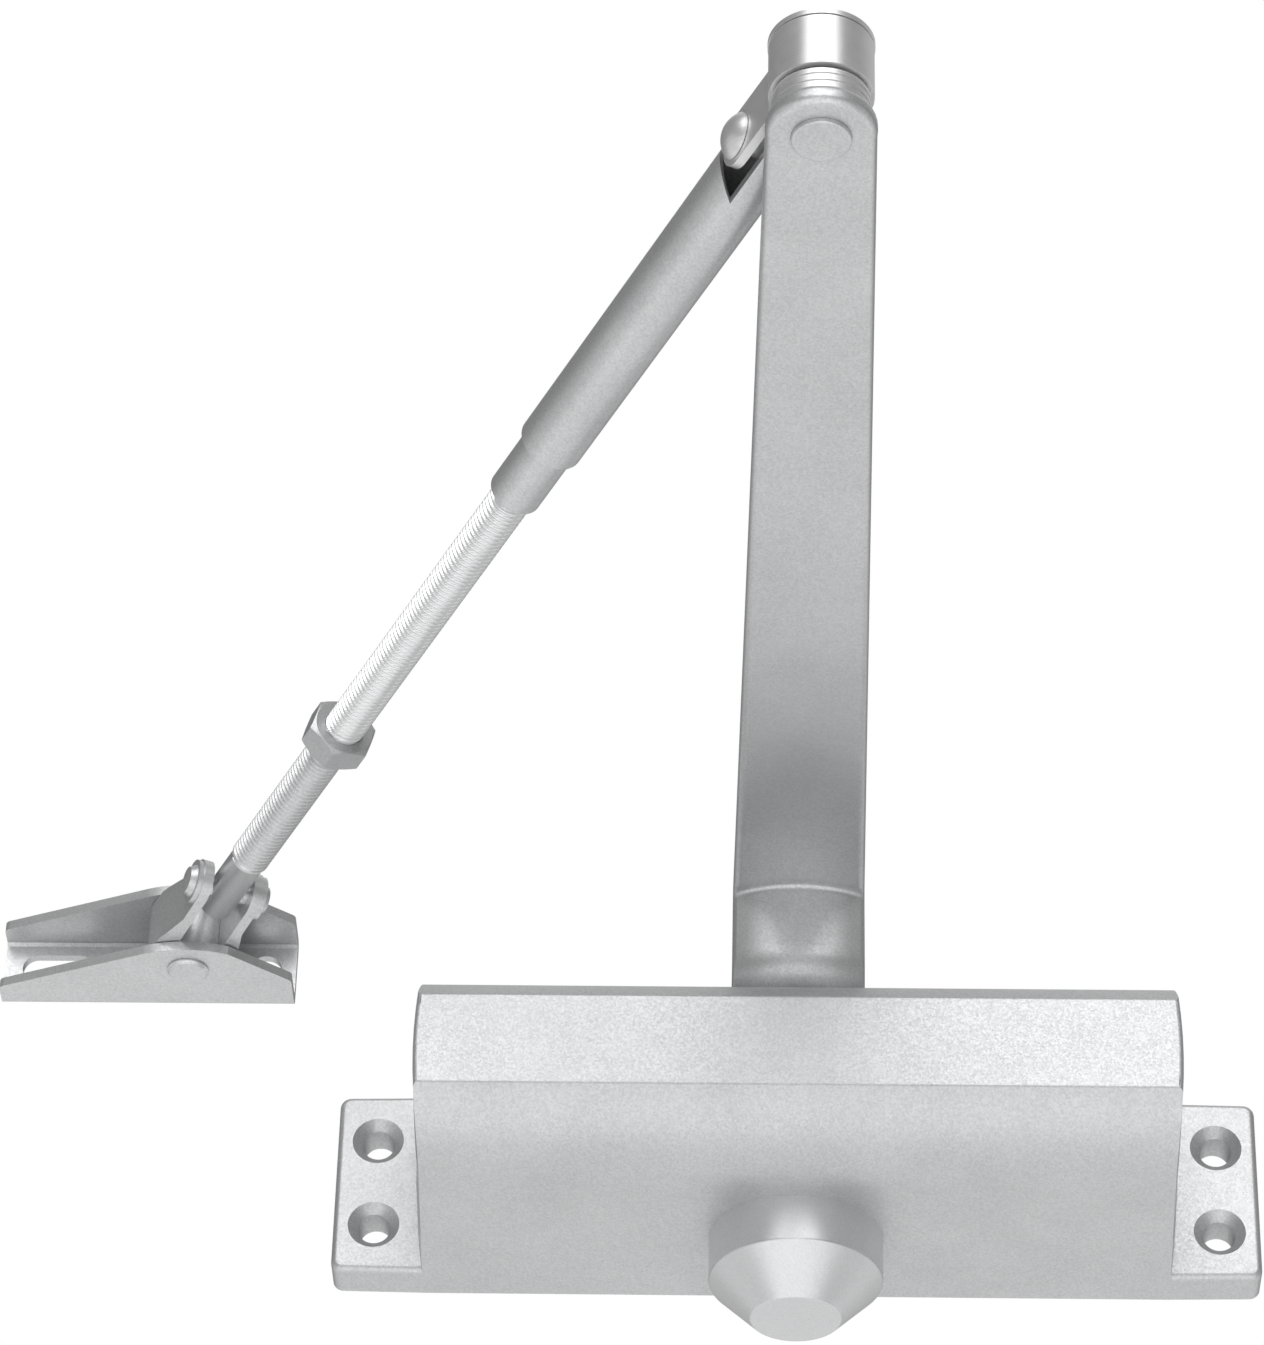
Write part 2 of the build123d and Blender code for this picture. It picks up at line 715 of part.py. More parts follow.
export_step(elbow_collar.part, "parts/elbow_collar.step")

with BuildPart() as elbow_bush:
    with BuildSketch(elbow_low.offset(eye_low_z + collar_lap + 0.2)):
        Circle(eye_r - eye_wall - 0.02)
        Circle(elbow_pin_r + 0.06, mode=Mode.SUBTRACT)
    extrude(amount=eye_high_z - eye_low_z - collar_lap - 0.6)
elbow_bush.part.label = "elbow_bush"
export_step(elbow_bush.part, "parts/elbow_bush.step")

tail_low = 3.95
tail_high = 5.55
with BuildPart() as elbow_strap:
    with BuildSketch(fore_flat.offset(eye_low_z)):
        Circle(eye_r)
        with BuildLine():
            Polyline(
                (4.5, tail_low),
                (tilt_s, tail_low),
                (tilt_s, tail_high),
                (8.5, tail_high),
                (5.0, 6.9),
                close=True,
            )
        make_face()
        Circle(eye_r - eye_wall, mode=Mode.SUBTRACT)
    extrude(amount=eye_high_z - eye_low_z)
    # Rounded tail around the rivet.
    with BuildSketch(Plane(origin=fore_point(tilt_s, tail_low), x_dir=(fore_dx, fore_dy, 0), z_dir=side_dir)):
        Circle(5.2)
    extrude(amount=tail_high - tail_low)
    with BuildSketch(Plane(origin=fore_point(tilt_s, -8), x_dir=(fore_dx, fore_dy, 0), z_dir=side_dir)):
        Circle(tilt_shank_r + 0.05)
    extrude(amount=20, mode=Mode.SUBTRACT)
elbow_strap.part.label = "elbow_strap"
export_step(elbow_strap.part, "parts/elbow_strap.step")

with BuildPart() as elbow_cap:
    with BuildSketch(Plane(origin=(elbow_x, elbow_y, 0), x_dir=(1, 0, 0), z_dir=(0, -1, 0))):
        with BuildLine():
            Polyline(
                (0, 66.05),
                (elbow_pin_r + 0.05, 66.05),
                (elbow_pin_r + 0.05, eye_high_z + 0.2),
                (cap_disc_r, eye_high_z + 0.2),
                (cap_disc_r, eye_high_z + 1.2),
            )
            RadiusArc((cap_disc_r, eye_high_z + 1.2), (0, 67.4), -dome_radius(cap_disc_r, 66.2 - eye_high_z))
            Line((0, 67.4), (0, 66.05))
        make_face()
    revolve(axis=elbow_axis)
elbow_cap.part.label = "elbow_cap"
export_step(elbow_cap.part, "parts/elbow_cap.step")

# ================================================================ forearm tube, rivet, rod and nut
rivet_head_r = 4.1
cut_side = 2.0  # the tube is open beyond this, at its elbow end
with BuildPart() as tilt_rivet:
    with BuildSketch(Plane(origin=fore_point(tilt_s), x_dir=(fore_dx, fore_dy, 0), z_dir=(0, 0, 1))):
        with BuildLine():
            Polyline(
                (0, -7.4),
                (3.4, -7.2),
                (3.4, -6.05),
                (tilt_shank_r, -6.05),
                (tilt_shank_r, tail_high + 0.1),
                (rivet_head_r, tail_high + 0.1),
                (rivet_head_r, tail_high + 0.5),
            )
            RadiusArc((rivet_head_r, tail_high + 0.5), (0, tail_high + 2.6), -dome_radius(rivet_head_r, 2.1))
            Line((0, tail_high + 2.6), (0, -7.4))
        make_face()
    revolve(axis=Axis(tuple(fore_point(tilt_s)), tuple(side_dir)))
tilt_rivet.part.label = "tilt_rivet"
export_step(tilt_rivet.part, "parts/tilt_rivet.step")

with BuildPart() as fore_tube:
    with BuildSketch(across_forearm(tube_half_start)):
        Circle(tube_r)
    extrude(amount=tube_shoulder - tube_half_start)
    chamfer(fore_tube.faces().sort_by(Axis(tuple(fore_point(0)), tuple(rod_dir)))[-1].edges(), 0.5)
    with BuildSketch(across_forearm(tube_shoulder - 1)):
        Circle(neck_r)
    extrude(amount=tube_end - tube_shoulder + 1)
    chamfer(fore_tube.faces().sort_by(Axis(tuple(fore_point(0)), tuple(rod_dir)))[-1].edges(), 0.4)
    # Plain bore, then the threaded part in the neck.
    with BuildSketch(across_forearm(tube_half_start - 1)):
        Circle(tube_bore_r)
    extrude(amount=tube_shoulder - 12 - tube_half_start + 1, mode=Mode.SUBTRACT)
    with BuildSketch(across_forearm(tube_half_start)):
        Circle(thread_bore_r)
    extrude(amount=tube_end - tube_half_start + 1, mode=Mode.SUBTRACT)
    # One half is cut away at the elbow end, where the strap's tail lies.
    with BuildSketch(along_forearm(0)):
        with BuildLine():
            Polyline(
                (tube_half_start - 3, cut_side),
                (tube_full_start, cut_side),
                (tube_side_start, tube_r + 0.3),
                (tube_side_start, tube_r + 4),
                (tube_half_start - 3, tube_r + 4),
                close=True,
            )
        make_face()
    extrude(amount=10, both=True, mode=Mode.SUBTRACT)
    # Rivet hole of the remaining half.
    with BuildSketch(Plane(origin=fore_point(tilt_s, -8), x_dir=(fore_dx, fore_dy, 0), z_dir=side_dir)):
        Circle(tilt_shank_r + 0.02)
    extrude(amount=20, mode=Mode.SUBTRACT)
fore_tube.part.label = "fore_tube"
export_step(fore_tube.part, "parts/fore_tube.step")

rod_tip = fore_length - rod_tip_back
with BuildPart() as fore_rod:
    with BuildSketch(across_forearm(rod_inner)):
        Circle(rod_r)
    extrude(amount=thread_end - rod_inner)
    with BuildSketch(across_forearm(thread_end - 1)):
        Circle(rod_end_r)
    extrude(amount=rod_tip - thread_end + 1)
    chamfer(fore_rod.faces().sort_by(Axis(tuple(fore_point(0)), tuple(rod_dir)))[-1].edges(), 0.6)
    chamfer(fore_rod.faces().sort_by(Axis(tuple(fore_point(0)), tuple(rod_dir)))[0].edges(), 0.6)
    with BuildSketch(Plane(origin=fore_point(cross_s, -8), x_dir=(fore_dx, fore_dy, 0), z_dir=side_dir)):
        Circle(cross_hole_r)
    extrude(amount=16, mode=Mode.SUBTRACT)
fore_rod.part.label = "fore_rod"
export_step(fore_rod.part, "parts/fore_rod.step")

with BuildPart() as jam_nut:
    with BuildSketch(across_forearm(nut_mid - nut_thickness / 2)):
        RegularPolygon(nut_flats / 2, 6, major_radius=False, rotation=nut_turn)
        Circle(rod_r + 0.05, mode=Mode.SUBTRACT)
    extrude(amount=nut_thickness)
    # Both faces are turned down at the corners.
    with BuildSketch(along_forearm(nut_mid)):
        with BuildLine():
            Polyline(
                (-nut_thickness / 2, 0),
                (-nut_thickness / 2, nut_corner_r - 1.5),
                (-nut_thickness / 2 + 0.9, nut_corner_r),
                (nut_thickness / 2 - 0.9, nut_corner_r),
                (nut_thickness / 2, nut_corner_r - 1.5),
                (nut_thickness / 2, 0),
                close=True,
            )
        make_face()
    revolve(axis=Axis(tuple(fore_point(nut_mid)), tuple(rod_dir)), mode=Mode.INTERSECT)
jam_nut.part.label = "jam_nut"
export_step(jam_nut.part, "parts/jam_nut.step")

# ================================================================ yoke at the shoe
pin_flat = Plane(origin=(shoe_pin_x, shoe_pin_y, 0), x_dir=(-fore_dx, -fore_dy, 0), z_dir=(0, 0, 1))
# In this plane X points back towards the elbow and Y is the far side.
ear_in = 4.3
ear_out = 6.3
washer_r = 4.4
washer_thickness = 1.0
bush_r = 6.5
shoe_pin_r = 3.5
with BuildPart() as yoke:
    with BuildSketch(pin_flat.offset(shoe_mid_z - barrel_half)):
        Circle(barrel_r)
        with BuildLine():
            Polyline(
                (0, -barrel_r + 0.05),
                (5.0, -barrel_r + 0.15),
                (13.0, -ear_out),
                (24.2, -ear_out),
                (24.2, ear_out),
                (13.0, ear_out),
                (5.0, barrel_r - 0.15),
                (0, barrel_r - 0.05),
                close=True,
            )
        make_face()
        with BuildLine():
            Polyline(
                (4.0, -ear_in),
                (30.0, -ear_in),
                (30.0, ear_in),
                (4.0, ear_in),
                close=True,
            )
        make_face(mode=Mode.SUBTRACT)
        Circle(bush_r, mode=Mode.SUBTRACT)
    extrude(amount=2 * barrel_half)
    # Ears taper to a round end about the cross rivet.
    with BuildSketch(Plane(origin=(shoe_pin_x, shoe_pin_y, shoe_mid_z), x_dir=(-fore_dx, -fore_dy, 0),
                           z_dir=side_dir)):
        with BuildLine():
            Polyline(
                (-12, -7),
                (7.5, -7),
                (7.5, -barrel_half),
                (cross_back, -4.7),
                (cross_back, 4.7),
                (7.5, barrel_half),
                (7.5, 7),
                (-12, 7),
                close=True,
            )
        make_face()
        with Locations((cross_back, 0)):
            Circle(4.72)
    extrude(amount=12, both=True, mode=Mode.INTERSECT)
    with BuildSketch(Plane(origin=fore_point(cross_s, -8), x_dir=(fore_dx, fore_dy, 0), z_dir=side_dir)):
        Circle(cross_hole_r)
    extrude(amount=16, mode=Mode.SUBTRACT)
yoke.part.label = "yoke"
export_step(yoke.part, "parts/yoke.step")

with BuildPart() as yoke_bush:
    with BuildSketch(pin_flat.offset(shoe_mid_z - barrel_half)):
        Circle(bush_r - 0.02)
        Circle(shoe_pin_r + 0.06, mode=Mode.SUBTRACT)
    extrude(amount=2 * barrel_half)
yoke_bush.part.label = "yoke_bush"
export_step(yoke_bush.part, "parts/yoke_bush.step")

with BuildPart() as cross_rivet:
    with BuildSketch(Plane(origin=fore_point(cross_s), x_dir=(fore_dx, fore_dy, 0), z_dir=(0, 0, 1))):
        with BuildLine():
            Polyline(
                (0, -ear_out - 2.6),
                (2.6, -ear_out - 2.2),
                (3.3, -ear_out - 1.0),
                (2.0, -ear_out - 1.0),
                (2.0, ear_out + 1.0),
                (3.3, ear_out + 1.0),
                (2.6, ear_out + 2.2),
                (0, ear_out + 2.6),
                close=True,
            )
        make_face()
    revolve(axis=Axis(tuple(fore_point(cross_s)), tuple(side_dir)))
cross_rivet.part.label = "cross_rivet"
export_step(cross_rivet.part, "parts/cross_rivet.step")

with BuildPart() as cross_washers:
    for side in (-ear_out - washer_thickness, ear_out):
        washer_flat = Plane(origin=fore_point(cross_s, side), x_dir=(fore_dx, fore_dy, 0), z_dir=side_dir)
        with BuildSketch(washer_flat):
            Circle(washer_r)
            Circle(cross_hole_r, mode=Mode.SUBTRACT)
        extrude(amount=washer_thickness)
cross_washers.part.label = "cross_washers"
export_step(cross_washers.part, "parts/cross_washers.step")

# ================================================================ shoe
shoe_low = shoe_mid_z - shoe_gap / 2 - sheet
shoe_high = shoe_mid_z + shoe_gap / 2 + sheet
with BuildPart() as shoe_bracket:
    # Outline of both flanges, with a rounded nose around the pin.
    with BuildSketch(Plane.XY.offset(shoe_low)):
        with BuildLine():
            Polyline(
                (shoe_pin_x + nose_half, -nose_side_depth),
                (shoe_right_x, -shoe_right_depth),
                (shoe_right_x, 0),
                (shoe_left_x, 0),
                (shoe_left_x, -shoe_left_depth),
                (shoe_pin_x - nose_half, -nose_side_depth),
            )
            ThreePointArc(
                (shoe_pin_x - nose_half, -nose_side_depth),
                (shoe_pin_x, -nose_depth),
                (shoe_pin_x + nose_half, -nose_side_depth),
            )
        make_face()
    extrude(amount=shoe_high - shoe_low)
    fillet(
        shoe_bracket.edges().filter_by(Axis.Z).filter_by(
            lambda e: e.center().Y < -3 and abs(e.center().X - shoe_pin_x) > 15
        ),
        1.6,
    )
    # Rounded bends at the back, outside and inside.
    fillet(shoe_bracket.edges().filter_by(Axis.X).filter_by_position(Axis.Y, -0.1, 0.1), 2.2)
    with BuildSketch(Plane.YZ.offset(shoe_left_x - 1)):
        with BuildLine():
            Polyline(
                (-40, shoe_low + sheet),
                (-sheet - 0.6, shoe_low + sheet),
                (-sheet, shoe_low + sheet + 0.6),
                (-sheet, shoe_high - sheet - 0.6),
                (-sheet - 0.6, shoe_high - sheet),
                (-40, shoe_high - sheet),
                close=True,
            )
        make_face()
    extrude(amount=shoe_right_x - shoe_left_x + 2, mode=Mode.SUBTRACT)
    # Slot and round hole in the base.
    with BuildSketch(Plane.XZ.offset(-1)):
        with Locations((slot_x, shoe_mid_z)):
            SlotOverall(slot_length, slot_width)
        with Locations((hole_x, shoe_mid_z)):
            Circle(hole_r)
    extrude(amount=6, mode=Mode.SUBTRACT)
    # Pin hole through both flanges.
    with BuildSketch(Plane.XY.offset(shoe_low - 1)):
        with Locations((shoe_pin_x, shoe_pin_y)):
            Circle(shoe_pin_r + 0.05)
    extrude(amount=shoe_high - shoe_low + 2, mode=Mode.SUBTRACT)
shoe_bracket.part.label = "shoe_bracket"
export_step(shoe_bracket.part, "parts/shoe_bracket.step")

with BuildPart() as shoe_pin:
    with BuildSketch(Plane(origin=(shoe_pin_x, shoe_pin_y, 0), x_dir=(1, 0, 0), z_dir=(0, -1, 0))):
        with BuildLine():
            Polyline(
                (0, shoe_low - 0.9),
                (3.6, shoe_low - 0.9),
                (4.2, shoe_low - 0.4),
                (4.2, shoe_low - 0.05),
                (shoe_pin_r, shoe_low - 0.05),
                (shoe_pin_r, shoe_high + 0.05),
                (4.2, shoe_high + 0.05),
                (4.2, shoe_high + 0.4),
                (3.6, shoe_high + 0.9),
                (0, shoe_high + 0.9),
                close=True,
            )
        make_face()
    revolve(axis=Axis((shoe_pin_x, shoe_pin_y, 0), (0, 0, 1)))
shoe_pin.part.label = "shoe_pin"
export_step(shoe_pin.part, "parts/shoe_pin.step")
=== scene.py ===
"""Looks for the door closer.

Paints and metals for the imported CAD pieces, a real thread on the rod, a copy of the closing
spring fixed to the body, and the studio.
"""

import json
from math import cos, pi, radians, sin

import bmesh
import bpy
from mathutils import Matrix, Vector


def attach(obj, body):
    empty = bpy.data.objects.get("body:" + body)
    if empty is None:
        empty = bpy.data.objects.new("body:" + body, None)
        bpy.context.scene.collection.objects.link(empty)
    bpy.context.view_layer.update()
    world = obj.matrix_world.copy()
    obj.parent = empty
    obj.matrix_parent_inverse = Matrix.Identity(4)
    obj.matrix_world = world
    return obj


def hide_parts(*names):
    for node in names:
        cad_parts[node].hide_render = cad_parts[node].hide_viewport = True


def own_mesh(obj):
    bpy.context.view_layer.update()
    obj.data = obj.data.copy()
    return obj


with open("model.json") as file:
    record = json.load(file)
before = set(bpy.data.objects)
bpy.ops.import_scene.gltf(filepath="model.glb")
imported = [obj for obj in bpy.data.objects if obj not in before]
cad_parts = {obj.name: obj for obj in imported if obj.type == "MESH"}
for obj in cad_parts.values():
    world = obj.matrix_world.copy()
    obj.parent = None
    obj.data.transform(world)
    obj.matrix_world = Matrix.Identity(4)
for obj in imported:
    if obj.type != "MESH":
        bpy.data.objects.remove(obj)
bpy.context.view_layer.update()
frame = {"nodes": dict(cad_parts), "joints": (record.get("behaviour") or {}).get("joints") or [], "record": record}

nodes = frame["nodes"]
joints = {joint["name"]: joint for joint in frame["joints"]}

MM = 0.001

# Sockets of a mix node that mixes colours.
MIX_DARK = 6
MIX_LIGHT = 7
MIX_RESULT = 2

# Paint.
FLAKE_SHARE = 0.55  # of the tone; the cloud has the rest
CLOUD_SIZE = 14 * MM
GLINT = 0.06  # how far the flakes move the roughness
PEEL_SIZE = 0.8 * MM
PEEL_SHARE = 0.6  # of the relief; the flakes have the rest
PAINT_RELIEF = 0.05 * MM

# Turned metal.
RING_WOBBLE = 1.2
RING_DETAIL = 3.0
RING_DETAIL_SCALE = 4.0
RING_STRENGTH = 0.35
RING_RELIEF = 0.02 * MM
STAIN_SIZE = 3 * MM
STAIN_SHADE = 0.86  # the stain's colour as a share of the metal's
STAIN_SHINE = 0.05  # roughness lost at one end of the stain
STAIN_DULL = 0.07  # roughness gained at the other
FINE_GROOVE = 0.2 * MM
# Painted shade in the grooves of the thread: its colour, and the crest value at which it ends.
GROOVE_SHADE_COLOUR = (0.04, 0.04, 0.042)
GROOVE_SHADE_END = 0.35  # crest value at which a groove's dark ends

# Rubber.
RUBBER_GRAIN = 0.4 * MM
RUBBER_RELIEF = 0.05 * MM


# -------------------- material tools
def new_material(name):
    """A material with an empty node tree, its Principled shader and its object coordinates."""
    material = bpy.data.materials.new(name)
    material.use_nodes = True
    tree = material.node_tree
    tree.nodes.clear()
    output = tree.nodes.new("ShaderNodeOutputMaterial")
    shader = tree.nodes.new("ShaderNodeBsdfPrincipled")
    tree.links.new(shader.outputs["BSDF"], output.inputs["Surface"])
    coordinates = tree.nodes.new("ShaderNodeTexCoord").outputs["Object"]
    return material, tree, shader, coordinates


def noise(tree, coordinates, size, detail):
    """Noise whose lumps are about size metres across."""
    node = tree.nodes.new("ShaderNodeTexNoise")
    node.inputs["Scale"].default_value = 1.0 / size
    node.inputs["Detail"].default_value = detail
    tree.links.new(coordinates, node.inputs["Vector"])
    return node.outputs["Fac"]


def flakes(tree, coordinates, size):
    """A random value for each cell of about size metres, as metal flakes in paint lie at random."""
    node = tree.nodes.new("ShaderNodeTexVoronoi")
    node.inputs["Scale"].default_value = 1.0 / size
    tree.links.new(coordinates, node.inputs["Vector"])
    grey = tree.nodes.new("ShaderNodeRGBToBW")
    tree.links.new(node.outputs["Color"], grey.inputs["Color"])
    return grey.outputs["Val"]


def spread(tree, value, low, high, end=1.0):
    """Maps a value from 0..end to low..high."""
    node = tree.nodes.new("ShaderNodeMapRange")
    node.inputs["From Max"].default_value = end
    node.inputs["To Min"].default_value = low
    node.inputs["To Max"].default_value = high
    tree.links.new(value, node.inputs["Value"])
    return node.outputs["Result"]


def combine(tree, operation, first, second):
    """One value from two, each a socket or a number."""
    node = tree.nodes.new("ShaderNodeMath")
    node.operation = operation
    for socket, value in zip(node.inputs, (first, second)):
        if isinstance(value, (int, float)):
            socket.default_value = value
        else:
            tree.links.new(value, socket)
    return node.outputs["Value"]


def blend(tree, first, share, second):
    """A share of the first value, and the rest of the second."""
    return combine(tree, "ADD", combine(tree, "MULTIPLY", first, share),
                   combine(tree, "MULTIPLY", second, 1.0 - share))


def tone(tree, value, dark, light):
    """A colour between dark and light, chosen by value."""
    node = tree.nodes.new("ShaderNodeMix")
    node.data_type = "RGBA"
    node.inputs[MIX_DARK].default_value = (*dark, 1.0)
    node.inputs[MIX_LIGHT].default_value = (*light, 1.0)
    tree.links.new(value, node.inputs["Factor"])
    return node.outputs[MIX_RESULT]


def bump(tree, shader, height, strength, distance):
    """Relief from a height value."""
    node = tree.nodes.new("ShaderNodeBump")
    node.inputs["Strength"].default_value = strength
    node.inputs["Distance"].default_value = distance
    tree.links.new(height, node.inputs["Height"])
    tree.links.new(node.outputs["Normal"], shader.inputs["Normal"])


# -------------------- materials
def silver_paint(name, dark, light, roughness, metallic=0.7, flake=0.35 * MM, relief=0.35):
    """Metallic paint: flakes that glint, slow unevenness of the coat and a faint orange peel."""
    material, tree, shader, coordinates = new_material(name)
    flake_value = flakes(tree, coordinates, flake)
    cloud = noise(tree, coordinates, CLOUD_SIZE, 3.0)
    mixed = blend(tree, flake_value, FLAKE_SHARE, cloud)
    tree.links.new(tone(tree, mixed, dark, light), shader.inputs["Base Color"])
    gloss = spread(tree, flake_value, roughness + GLINT, roughness - GLINT)
    tree.links.new(gloss, shader.inputs["Roughness"])
    shader.inputs["Metallic"].default_value = metallic
    peel = noise(tree, coordinates, PEEL_SIZE, 2.0)
    height = blend(tree, peel, PEEL_SHARE, flake_value)
    bump(tree, shader, height, relief, PAINT_RELIEF)
    return material


def turned_steel(name, colour, roughness, groove=0.35 * MM, metallic=1.0):
    """Turned metal: fine rings across Z, about two grooves apart, and a little stain."""
    material, tree, shader, coordinates = new_material(name)
    rings = tree.nodes.new("ShaderNodeTexWave")
    rings.bands_direction = "Z"
    rings.inputs["Scale"].default_value = 0.5 / groove / pi
    rings.inputs["Distortion"].default_value = RING_WOBBLE
    rings.inputs["Detail"].default_value = RING_DETAIL
    rings.inputs["Detail Scale"].default_value = RING_DETAIL_SCALE
    tree.links.new(coordinates, rings.inputs["Vector"])
    stain = noise(tree, coordinates, STAIN_SIZE, 4.0)
    dark = [channel * STAIN_SHADE for channel in colour]
    tree.links.new(tone(tree, stain, dark, colour), shader.inputs["Base Color"])
    gloss = spread(tree, stain, roughness - STAIN_SHINE, roughness + STAIN_DULL)
    tree.links.new(gloss, shader.inputs["Roughness"])
    shader.inputs["Metallic"].default_value = metallic
    bump(tree, shader, rings.outputs["Fac"], RING_STRENGTH, RING_RELIEF)
    return material


def threaded(material):
    """The same metal, with painted shade darkening the grooves of a thread."""
    tree = material.node_tree
    shader = next(node for node in tree.nodes if node.type == "BSDF_PRINCIPLED")
    colour = shader.inputs["Base Color"].links[0].from_socket
    crest = tree.nodes.new("ShaderNodeAttribute")
    crest.attribute_name = "crest"
    # Painted shade: the groove colour is mixed in where the crest value is low.
    node = tree.nodes.new("ShaderNodeMix")
    node.data_type = "RGBA"
    node.inputs[MIX_DARK].default_value = (*GROOVE_SHADE_COLOUR, 1.0)
    tree.links.new(colour, node.inputs[MIX_LIGHT])
    height = spread(tree, crest.outputs["Fac"], 0.0, 1.0, end=GROOVE_SHADE_END)
    tree.links.new(height, node.inputs["Factor"])
    tree.links.new(node.outputs[MIX_RESULT], shader.inputs["Base Color"])
    return material


def moulded_rubber(name):
    """Black rubber with a fine grain."""
    material, tree, shader, coordinates = new_material(name)
    grain = noise(tree, coordinates, RUBBER_GRAIN, 3.0)
    tree.links.new(tone(tree, grain, (0.012,) * 3, (0.03,) * 3), shader.inputs["Base Color"])
    tree.links.new(spread(tree, grain, 0.55, 0.7), shader.inputs["Roughness"])
    bump(tree, shader, grain, 0.4, RUBBER_RELIEF)
    return material


def paint_node(node, material):
    """Gives a CAD node its material."""
    mesh = nodes[node].data
    mesh.materials.clear()
    mesh.materials.append(material)


body_paint = silver_paint("body_paint", (0.45, 0.455, 0.46), (0.66, 0.665, 0.67), 0.42)
arm_paint = silver_paint("arm_paint", (0.48, 0.485, 0.49), (0.72, 0.725, 0.73), 0.38)
shoe_paint = silver_paint("shoe_paint", (0.48, 0.485, 0.49), (0.72, 0.725, 0.73), 0.36)
cap_paint = silver_paint("cap_paint", (0.58, 0.585, 0.59), (0.72, 0.725, 0.73), 0.34,
                         flake=0.25 * MM, relief=0.3)
painted_zinc = silver_paint("painted_zinc", (0.60, 0.605, 0.61), (0.84, 0.845, 0.85), 0.36)
zinc = turned_steel("bright_zinc", (0.90, 0.91, 0.92), 0.18, groove=FINE_GROOVE)
# The bright thread has painted shade in its grooves.
thread_zinc = threaded(turned_steel("thread_zinc", (0.95, 0.955, 0.96), 0.2,
                                    groove=FINE_GROOVE, metallic=0.6))
nut_paint = silver_paint("nut_paint", (0.43, 0.435, 0.44), (0.63, 0.635, 0.64), 0.34)
thread_paint = silver_paint("thread_paint", (0.56, 0.565, 0.57), (0.80, 0.805, 0.81), 0.36)
satin_steel = turned_steel("satin_steel", (0.84, 0.84, 0.84), 0.33, metallic=0.75)
dark_steel = turned_steel("dark_steel", (0.35, 0.35, 0.36), 0.35)
spring_steel = turned_steel("spring_steel", (0.22, 0.22, 0.23), 0.32)
bronze = turned_steel("bronze", (0.55, 0.40, 0.20), 0.4)
rubber = moulded_rubber("black_rubber")

slot_materials = {
    "painted_body": body_paint,
    "painted_arm": arm_paint,
    "painted_shoe": shoe_paint,
    "zinc_thread": zinc,
    "satin_steel": satin_steel,
    "dark_steel": dark_steel,
    "cap_metal": cap_paint,
    "spring_steel": spring_steel,
    "bronze": bronze,
    "seal_rubber": rubber,
}
for part in frame["record"]["subparts"]:
    paint_node(part["node"], slot_materials[part["material_slot"]])
# Three pieces that look unlike their slots.
# Painted shade: the elbow bush is dark steel, not its bronze, so the gap in the elbow eye looks black.
paint_node("elbow_bush", dark_steel)
paint_node("yoke_bush", shoe_paint)
paint_node("jam_nut", nut_paint)


# -------------------- rod with a real thread
THREAD_PITCH = 1.25 * MM
THREAD_CREST = 3.93 * MM
THREAD_ROOT = 3.25 * MM
THREAD_STEPS = 40  # flats per turn
SMOOTH_LIMIT = 3.8 * MM  # the smooth end of the rod is thinner than this
TIP_OVERLAP = 0.05 * MM
WELD_GAP = 0.0001 * MM
THREAD_SHARP = radians(25)
TIP_SHARP = radians(30)
# Profile over one pitch: how far along it, and whether the point is on the crest.
THREAD_PROFILE = ((0.0, False), (0.08, False), (0.42, True), (0.66, True))

rod_axis = Vector(joints["nut_turn"]["axis"]).normalized()
rod_origin = Vector(joints["nut_turn"]["pos_m"])
rod_across = Vector(joints["yoke_tilt"]["axis"]).normalized()
rod_across = (rod_across - rod_axis * rod_across.dot(rod_axis)).normalized()
rod_up = rod_axis.cross(rod_across)


def rod_piece(name, mesh, material):
    """A visible piece that moves with the rod."""
    mesh.materials.clear()
    mesh.materials.append(material)
    piece = bpy.data.objects.new(name, mesh)
    bpy.context.scene.collection.objects.link(piece)
    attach(piece, "rod")
    return piece


def close_ends(shape):
    """Fills the open ends of a mesh and turns its faces outward."""
    bmesh.ops.holes_fill(shape, edges=[edge for edge in shape.edges if edge.is_boundary])
    bmesh.ops.triangulate(shape, faces=[face for face in shape.faces if len(face.verts) > 4])
    bmesh.ops.recalc_face_normals(shape, faces=shape.faces)


def thread(name, start, end, material):
    """A helical thread between two distances along the rod."""
    shape = bmesh.new()
    # The crest value, 1 on the crest and 0 in the root, masks the painted groove shade.
    groove_shade_mask = shape.verts.layers.float.new("crest")
    steps = int((end - start) / THREAD_PITCH * THREAD_STEPS)
    rings = []
    for step in range(steps + 1):
        angle = 2 * pi * step / THREAD_STEPS
        outward = rod_across * cos(angle) + rod_up * sin(angle)
        ring = []
        for share, crest in THREAD_PROFILE:
            place = start + (step / THREAD_STEPS + share) * THREAD_PITCH
            radius = THREAD_CREST if crest else THREAD_ROOT
            vertex = shape.verts.new(rod_origin + rod_axis * place + outward * radius)
            vertex[groove_shade_mask] = 1.0 if crest else 0.0
            ring.append(vertex)
        rings.append(ring)
    for step in range(steps):
        near, far = rings[step], rings[step + 1]
        for index in range(len(THREAD_PROFILE) - 1):
            shape.faces.new((near[index], far[index], far[index + 1], near[index + 1]))
        if step + 1 + THREAD_STEPS <= steps:
            near_turn, far_turn = rings[step + THREAD_STEPS], rings[step + 1 + THREAD_STEPS]
            shape.faces.new((near[-1], far[-1], far_turn[0], near_turn[0]))
    close_ends(shape)
    mesh = bpy.data.meshes.new(name)
    shape.to_mesh(mesh)
    shape.free()
    mesh.shade_smooth()
    mesh.set_sharp_from_angle(angle=THREAD_SHARP)
    return rod_piece(name, mesh, material)


